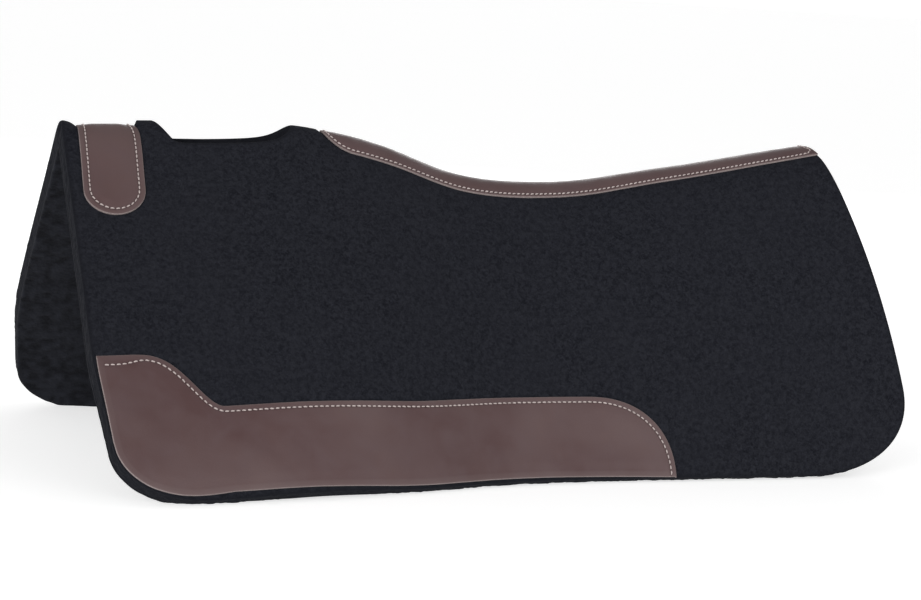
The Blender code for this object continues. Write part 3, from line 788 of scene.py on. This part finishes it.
def felt_panel(label, side):
    outline = side_outline(1.6 * MM)
    front = Patch(outline, round_insets(FELT_ROUND, 3), 3.0 * MM)
    back = Patch(outline, round_insets(FELT_ROUND, 2), 6.0 * MM)
    seed = 10 + side
    outer = felt_depth(front, 0, 1, seed) + felt_press(*front.points.T)
    inner = felt_depth(back, FELT, -1, seed)
    points = place(*front.points.T, outer, side), place(*back.points.T, inner, side)
    count = len(front.outline)
    walls = felt_walls(front, outer[:count], inner[:count], side, seed + 3)
    # the band along the outline and the cut edge's walls are marked for the felt's painted edge shade
    bands = [1 - smooth_step(patch.distance / EDGE_BAND) for patch in (front, back)]
    attributes = {"edge": np.concatenate([*bands, np.ones(count * len(walls))])}
    made = shell(f"felt_{label}", front, back, *points, walls, attributes, FELT_MATERIAL, side < 0)
    declare(made, f"felt_panel_{label}")


def running_length(ring):
    steps = np.linalg.norm(np.roll(ring, -1, 0) - ring, axis=1)
    return np.concatenate([[0], np.cumsum(steps)[:-1]])


def free_edge(ring):
    """1 round the free edge, 0 along the spine seam."""
    return smooth_step(ring[:, 1] / 0.006)


FLEECE_FOOT = 0.5 * MM
FLEECE_ROUND = 2.0 * MM
PILE_SINK, PILE_HEIGHT = 0.9 * MM, 1.7 * MM
NUB_SIZE, CLUMP_SIZE, NUB_SHARE = 0.0052, 0.0105, 0.62


def fleece_liner(label, side):
    outer, inner = FELT + 0.3 * MM, FELT + LINER_GAP + LINER
    outline = side_outline(2.4 * MM)
    front = Patch(outline, [1.0 * MM], 9.0 * MM)
    back = Patch(outline, round_insets(FLEECE_ROUND, 2), 2.6 * MM)
    seed = 30 + side
    x, u = back.points.T
    fine, coarse = noise(x, u, NUB_SIZE, seed), noise(x + 0.3 * u, u, CLUMP_SIZE, seed + 1)
    nubs = 0.5 + 0.5 * (NUB_SHARE * fine + (1 - NUB_SHARE) * coarse)
    depth = inner - PILE_SINK + PILE_HEIGHT * nubs - quarter_round(back.distance, FLEECE_ROUND)
    points = place(*front.points.T, outer, side, FLEECE_FOOT), place(x, u, depth, side, FLEECE_FOOT)
    ring = front.outline
    walls = []
    for t in (0.35, 0.7):
        walls.append(place(*ring.T, outer * (1 - t) + depth[: len(ring)] * t, side, FLEECE_FOOT))
    height = np.concatenate([np.full(len(front.points), 0.5), nubs, np.full(len(ring) * len(walls), 0.6)])
    attributes = {"height": height}
    made = shell(f"fleece_{label}", front, back, *points, walls, attributes, FLEECE_MATERIAL, side < 0)
    declare(made, f"fleece_liner_{label}")


LEATHER_ROUND = 0.7 * MM
GROOVE_DEPTH, GROOVE_HALF = 0.55 * MM, 0.9 * MM
ROW_RINGS = tuple(r * MM for r in (-1.5, -0.9, -0.4, 0.0, 0.4, 0.9, 1.5, 3.0))
LEATHER_WAVE, LEATHER_CREASE = 0.035, 0.009  # sizes of its slow waves and of its fine ones


def leather_lift(front, inset, press, groove, wave, puffed, seed):
    """Height of the leather's outer face: round at its edge, puffed up inside its row, and a little wavy."""
    x, v = front.points.T
    puff = puffed * smooth_step((front.distance - inset) / 0.010)
    margin = -0.35 * MM * (1 - smooth_step(front.distance / inset))
    fall = quarter_round(front.distance, LEATHER_ROUND)
    waves = wave * noise(x, v, LEATHER_WAVE, seed) + 0.1 * MM * noise(x, v, LEATHER_CREASE, seed + 1)
    return LEATHER - press(x, v) - fall + puff + margin - GROOVE_DEPTH * groove + waves


def leather_walls(front, lift, low, side, seed):
    """Rows of points down the leather's cut edge, between the heights of its two faces."""
    ring = front.outline
    walls = []
    for t in (0.3, 0.65):
        depth = -lift * (1 - t) - low * t
        out = 0.12 * MM * noise(running_length(ring), depth + t, 0.004, seed)
        walls.append(place(*(ring + front.inward * out[:, None]).T, depth, side))
    return walls


def leather_shades(front, inset, groove, others):
    """Where the leather is raw, rubbed, or grooved, with painted shade in the groove. Its other points, which
    come last, are all raw edge.
    """
    raw = 1 - smooth_step(front.distance / (0.6 * MM))
    outside = 1 - smooth_step((front.distance - inset + 1 * MM) / (2 * MM))
    rubbed = 0.35 * outside + 0.5 * np.exp(-((front.distance / (1.8 * MM)) ** 2))
    rest = np.zeros(others)
    return {"edge": np.concatenate([raw, rest + 1]), "rubbed": np.concatenate([rubbed, rest]),
            "groove": np.concatenate([groove, rest])}


def leather_piece(name, node, outline, inset, press, side, wave, seed, row_distance=None, puffed=0.35 * MM):
    """A leather piece lying in the felt, with round edges and a groove under its row of stitching."""
    rings = round_insets(LEATHER_ROUND, 3) + [1.6 * MM, 2.6 * MM] + [inset + r for r in ROW_RINGS]
    front = Patch(outline, sorted(rings), 2.4 * MM)
    back = Patch(outline, [1.5 * MM], 5.0 * MM)
    away = np.abs(front.distance - inset) if row_distance is None else row_distance(*front.points.T)
    groove = np.exp(-((away / GROOVE_HALF) ** 2))
    lift = leather_lift(front, inset, press, groove, wave, puffed, seed)
    low = 0.1 * MM - press(*back.points.T) + wave * noise(*back.points.T, LEATHER_WAVE, seed)
    points = place(*front.points.T, -lift, side), place(*back.points.T, -low, side)
    count = len(front.outline)
    walls = leather_walls(front, lift[:count], low[:count], side, seed + 2)
    shades = leather_shades(front, inset, groove, len(back.points) + count * len(walls))
    made = shell(name, front, back, *points, walls, shades, LEATHER_MATERIAL, side == -1)
    declare(made, node)
    abs(signed_area(outline))


STITCH_SIDES, STITCH_RINGS = 10, 9
STITCH_HALF = 0.33  # half a stitch's length, as a share of the row's spacing
STITCH_RADIUS, STITCH_RISE, STITCH_SINK = 0.58 * THREAD, 0.62 * THREAD, 0.45 * MM
STITCH_TIP = 0.45  # radius at a stitch's ends, as a share of its radius in the middle
LEAN_SPREAD, RADIUS_SPREAD, RISE_SPREAD = 0.05, 0.06, 0.05 * MM  # how much the stitches differ


def stitch_spots(line, pitch, closed, slant, random):
    """The middle line of each stitch on the pattern, and where its rings are, from -1 to 1."""
    marks = resampled(line, pitch, closed)
    first, last = (marks, np.roll(marks, -1, 0)) if closed else (marks[:-1], marks[1:])
    length = np.linalg.norm(last - first, axis=1, keepdims=True)
    ahead = (last - first) / length
    aside = np.stack([-ahead[:, 1], ahead[:, 0]], 1)
    turned = ahead + aside * (slant + LEAN_SPREAD * random.randn(len(first), 1))
    t = np.linspace(-1, 1, STITCH_RINGS)
    reach = t[None, :, None] * length[:, None] * STITCH_HALF
    return (first + last)[:, None] / 2 + turned[:, None] * reach, t


def stitch_row(name, node, line, pitch, closed, lift, side, slant, seed):
    """Separate stitches along a line of the pattern, each sunk into the leather at both ends."""
    random = np.random.RandomState(seed)
    spots, t = stitch_spots(line, pitch, closed, slant, random)
    count = len(spots)
    taper = STITCH_TIP + (1 - STITCH_TIP) * (1 - t**6)
    radius = STITCH_RADIUS * (1 + RADIUS_SPREAD * random.randn(count, 1)) * taper[None]
    rise = STITCH_RISE * (1 - np.abs(t) ** 2.4)[None] - STITCH_SINK + RISE_SPREAD * random.randn(count, 1)
    x, v = spots[..., 0], spots[..., 1]
    height = lift(x, v) + rise
    centre = place(x, v, -height, side)
    upwards = place(x, v, -(height + MM), side) - centre
    along = unit(np.gradient(centre, axis=1))
    across = unit(np.cross(along, unit(upwards)))
    turn = np.arange(STITCH_SIDES) / STITCH_SIDES * 2 * np.pi
    ply = 1 + 0.10 * np.cos(2 * turn[None, :] - 5.0 * t[:, None])
    above = np.cross(across, along)
    made = tubes(name, centre, across, above, radius[..., None] * ply, turn, PALE_THREAD)
    declare(made, node)


def wither_strap():
    def lift(x, v):
        return LEATHER - strap_press(x, v)

    outline = strap_outline(0, 1.6 * MM)
    leather_piece("wither_strap", "wither_strap_leather", outline, STRAP_INSET, strap_press, None,
                  0.25 * MM, 51, puffed=1.1 * MM)
    row = strap_outline(STRAP_INSET, 1.0 * MM)
    stitch_row("wither_strap_stitches", "wither_strap_stitching", row, 5.4 * MM, True, lift, None, 0.06, 52)


def spine_strip():
    def press(x, v):
        return strip_press(x)

    def lift(x, v):
        return LEATHER - press(x, v)

    outline = strip_outline(0, 0, 1.0 * MM, 1.8 * MM)
    leather_piece("spine_strip", "spine_strip_leather", outline, STRIP_INSET, press, None, 0.35 * MM, 61)
    row = strip_outline(STRIP_INSET, 5 * MM, 7 * MM, 1.0 * MM)
    stitch_row("spine_strip_stitches", "spine_strip_stitching", row, 4.9 * MM, True, lift, None, 0.16, 62)


def wear_leather(label, side):
    line = resampled(wear_row(), 1.0 * MM, closed=False)
    line = line[line[:, 1] < straight_hem(line[:, 0]) - 2 * MM]
    tree = points_tree(line)

    def to_row(x, v):
        return nearest_points(tree, np.stack([x, v], 1))[1]

    def press(x, v):
        return np.full_like(x, WEAR_PRESS)

    def lift(x, v):
        return np.full_like(x, LEATHER - WEAR_PRESS)

    leather_piece(f"wear_leather_{label}_side", f"wear_leather_{label}", wear_outline(1.8 * MM), WEAR_INSET,
                  press, side, 0.25 * MM, 71 + side, to_row)
    stitch_row(f"wear_stitches_{label}", f"wear_leather_stitching_{label}", line, 5.5 * MM, False, lift,
               side, 0.06, 75 + side)


UNDER_REACH = 80 * MM


def under_spine(x, v, depth):
    """Points inside the spine. v is the distance along the inside from its middle, negative on the left."""
    x, v, depth = np.broadcast_arrays(x, v, depth)
    first = look_up(FIRST_ARC, X_GRID, DEPTHS, x, depth)
    wanted = first - depth * look_up(SLOPE, X_GRID, ARC, x, first) + np.abs(v)
    low, high = first, first + UNDER_REACH
    for _ in range(30):
        middle = (low + high) / 2
        short = middle - depth * look_up(SLOPE, X_GRID, ARC, x, middle) < wanted
        low, high = np.where(short, middle, low), np.where(short, high, middle)
    moved = (low**3 - first**3) ** (1 / 3)
    return place(x, np.where(v < 0, -moved, moved), depth)


TAPE_ROUND = 0.4 * MM
TAPE_WAVE, TAPE_CREASE = (0.25 * MM, 0.016), (0.10 * MM, 0.005)  # height and size
SELVEDGE, SELVEDGE_INSET = 0.15 * MM, 1.4 * MM
TAPE_SEED = 91


def seam_tape(name, node, seam_start, seam_end):
    """Woven tape bonded across the inside of a seam, with a firm selvedge along both edges."""
    start, end, half = seam_start + TAPE_MARGIN, seam_end - TAPE_MARGIN, TAPE_HALF_WIDTH
    outline = resampled(np.array(((start, -half), (end, -half), (end, half), (start, half))), 1.6 * MM)
    front = Patch(outline, [TAPE_ROUND, SELVEDGE_INSET], 2.6 * MM)
    back = Patch(outline, [0.6 * MM], 4 * MM)
    x, v = front.points.T
    waves = TAPE_WAVE[0] * noise(x, v, TAPE_WAVE[1], TAPE_SEED)
    waves = waves + TAPE_CREASE[0] * noise(x, v, TAPE_CREASE[1], TAPE_SEED + 1)
    selvedge = SELVEDGE * np.exp(-(((front.distance - SELVEDGE_INSET) / MM) ** 2))
    face = TAPE_DEPTH + TAPE + waves + selvedge - quarter_round(front.distance, TAPE_ROUND)
    base = TAPE_DEPTH + TAPE_WAVE[0] * noise(*back.points.T, TAPE_WAVE[1], TAPE_SEED)
    middle = face[: len(front.outline)] / 2 + base[: len(front.outline)] / 2
    walls = [under_spine(*front.outline.T, middle)]
    points = under_spine(x, v, face), under_spine(*back.points.T, base)
    made = shell(name, front, back, *points, walls, {}, TAPE_MATERIAL, True)
    declare(made, node)


ROPE_SIDES = 8


def rope(name, node, path):
    """Twisted dark thread along a smooth path."""
    along = unit(np.gradient(path, axis=0))
    aside = unit(np.cross(along, (0.0, 0.0, 1.0)))
    above = np.cross(aside, along)
    turn = np.arange(ROPE_SIDES) / ROPE_SIDES * 2 * np.pi
    run = np.concatenate([[0], np.cumsum(np.linalg.norm(np.diff(path, axis=0), axis=1))])
    ply = THREAD / 2 * (1 + 0.12 * np.cos(2 * turn[None] - run[:, None] / (0.6 * MM)))
    made = tubes(name, path[None], aside[None], above[None], ply[None], turn, DARK_THREAD)
    declare(made, node)


ZIGZAG_POINTS = 14  # points for each step of the zigzag
ZIGZAG_ROUNDING = 0.98  # 1 would make its turns sharp


def seam_thread(name, node, seam_start, seam_end):
    """Zigzag thread over the tape that holds the two sides together, with each turn rounded off."""
    start, end = seam_start + 2 * TAPE_MARGIN, seam_end - 2 * TAPE_MARGIN
    count = int((end - start) / ZIGZAG_STEP)
    turns = np.linspace(0, count, ZIGZAG_POINTS * count + 1)
    x = start + (end - start) * turns / count
    across = 2 / math.pi * np.arcsin(ZIGZAG_ROUNDING * np.sin(math.pi * (turns - 0.5)))
    sag = (ZIGZAG_SAG - THREAD) * (1 - across**2)
    path = under_spine(x, ZIGZAG_HALF_WIDTH * across, TAPE_DEPTH + TAPE + 1.1 * THREAD + sag)
    rope(name, node, path)


seam_tape("bridge_tape", "bridge_seam_tape", 0.0, CUT_START)
seam_tape("spine_tape", "spine_seam_tape", CUT_END, SPINE_LENGTH)
seam_thread("bridge_zigzag", "bridge_seam_thread", 0.0, CUT_START)
seam_thread("spine_zigzag", "spine_seam_thread", CUT_END, SPINE_LENGTH)
for label, side in SIDES.items():
    felt_panel(label, side)
    fleece_liner(label, side)
    wear_leather(label, side)
wither_strap()
spine_strip()


# ---------------------------------------------------------------- studio


FLOOR_RADIUS, FLOOR_SIDES = 400.0, 64


def floor():
    mesh = bpy.data.meshes.new("studio_floor")
    turns = np.linspace(0, 2 * np.pi, FLOOR_SIDES, endpoint=False)
    rim = [(FLOOR_RADIUS * math.cos(a), FLOOR_RADIUS * math.sin(a), 0) for a in turns]
    mesh.from_pydata(rim, [], [list(range(FLOOR_SIDES))])
    tree = Tree("studio_floor", 0.9, 0.2)
    tree.set(tree.shader, {"Base Color": (0.72, 0.72, 0.72, 1)})
    tree.set(tree.shader, {"Emission Color": (1, 1, 1, 1), "Emission Strength": 0.60})
    mesh.materials.append(tree.material)
    obj = bpy.data.objects.new("studio_floor", mesh)
    bpy.context.collection.objects.link(obj)


def softbox(name, place_at, target, size, power):
    light = bpy.data.lights.new(name, "AREA")
    light.shape = "RECTANGLE"
    light.size, light.size_y = size
    light.energy = power
    obj = bpy.data.objects.new(name, light)
    obj.location = place_at
    obj.rotation_euler = (Vector(place_at) - Vector(target)).to_track_quat("Z", "Y").to_euler()
    bpy.context.collection.objects.link(obj)


SKY = (1.16, 0.18)  # brightness at the horizon and overhead
LIGHTS_AIM = (0, 0, 0.16)
SOFTBOXES = {
    "key": ((-3.0, -3.1, 1.1), (1.8, 1.5), 84),
    "fill": ((1.5, -4.1, 0.95), (2.2, 1.5), 39),
    "back": ((1.2, 3.6, 1.3), (2.2, 1.5), 30),
}


def sky():
    """A white world, brightest at the horizon."""
    world = bpy.data.worlds.new("studio")
    world.use_nodes = True
    nodes, links = world.node_tree.nodes, world.node_tree.links
    background = nodes["Background"]
    background.inputs["Color"].default_value = (1.0, 1.0, 1.0, 1)
    direction = nodes.new("ShaderNodeTexCoord").outputs["Generated"]
    split = nodes.new("ShaderNodeSeparateXYZ")
    fade = nodes.new("ShaderNodeMapRange")
    links.new(direction, split.inputs[0])
    links.new(split.outputs["Z"], fade.inputs["Value"])
    fade.inputs["To Min"].default_value, fade.inputs["To Max"].default_value = SKY
    links.new(fade.outputs["Result"], background.inputs["Strength"])
    bpy.context.scene.world = world


def studio():
    floor()
    sky()
    for name, (place_at, size, power) in SOFTBOXES.items():
        softbox(name, place_at, LIGHTS_AIM, size, power)
    bpy.context.scene.view_settings.view_transform = "Standard"


CAMERA_AT = (FRONT_X - 0.4696, -2.4507, 0.4703)
CAMERA_YAW, CAMERA_PITCH, CAMERA_ROLL = 19.82, 6.91, 3.7
LENS = 101.12


def camera():
    yaw, pitch, roll = (math.radians(a) for a in (CAMERA_YAW, CAMERA_PITCH, CAMERA_ROLL))
    level = math.cos(pitch)
    right = Vector((math.cos(yaw), -math.sin(yaw), 0))
    forward = Vector((math.sin(yaw) * level, math.cos(yaw) * level, -math.sin(pitch)))
    up = right.cross(forward)
    tilted_right = math.cos(roll) * right + math.sin(roll) * up
    tilted_up = -math.sin(roll) * right + math.cos(roll) * up
    data = bpy.data.cameras.new("camera")
    data.lens = LENS
    obj = bpy.data.objects.new("camera", data)
    turn = Matrix((tilted_right, tilted_up, -forward)).transposed()
    obj.matrix_world = Matrix.Translation(CAMERA_AT) @ turn.to_4x4()
    bpy.context.collection.objects.link(obj)
    bpy.context.scene.camera = obj


studio()
camera()
bpy.context.view_layer.update()
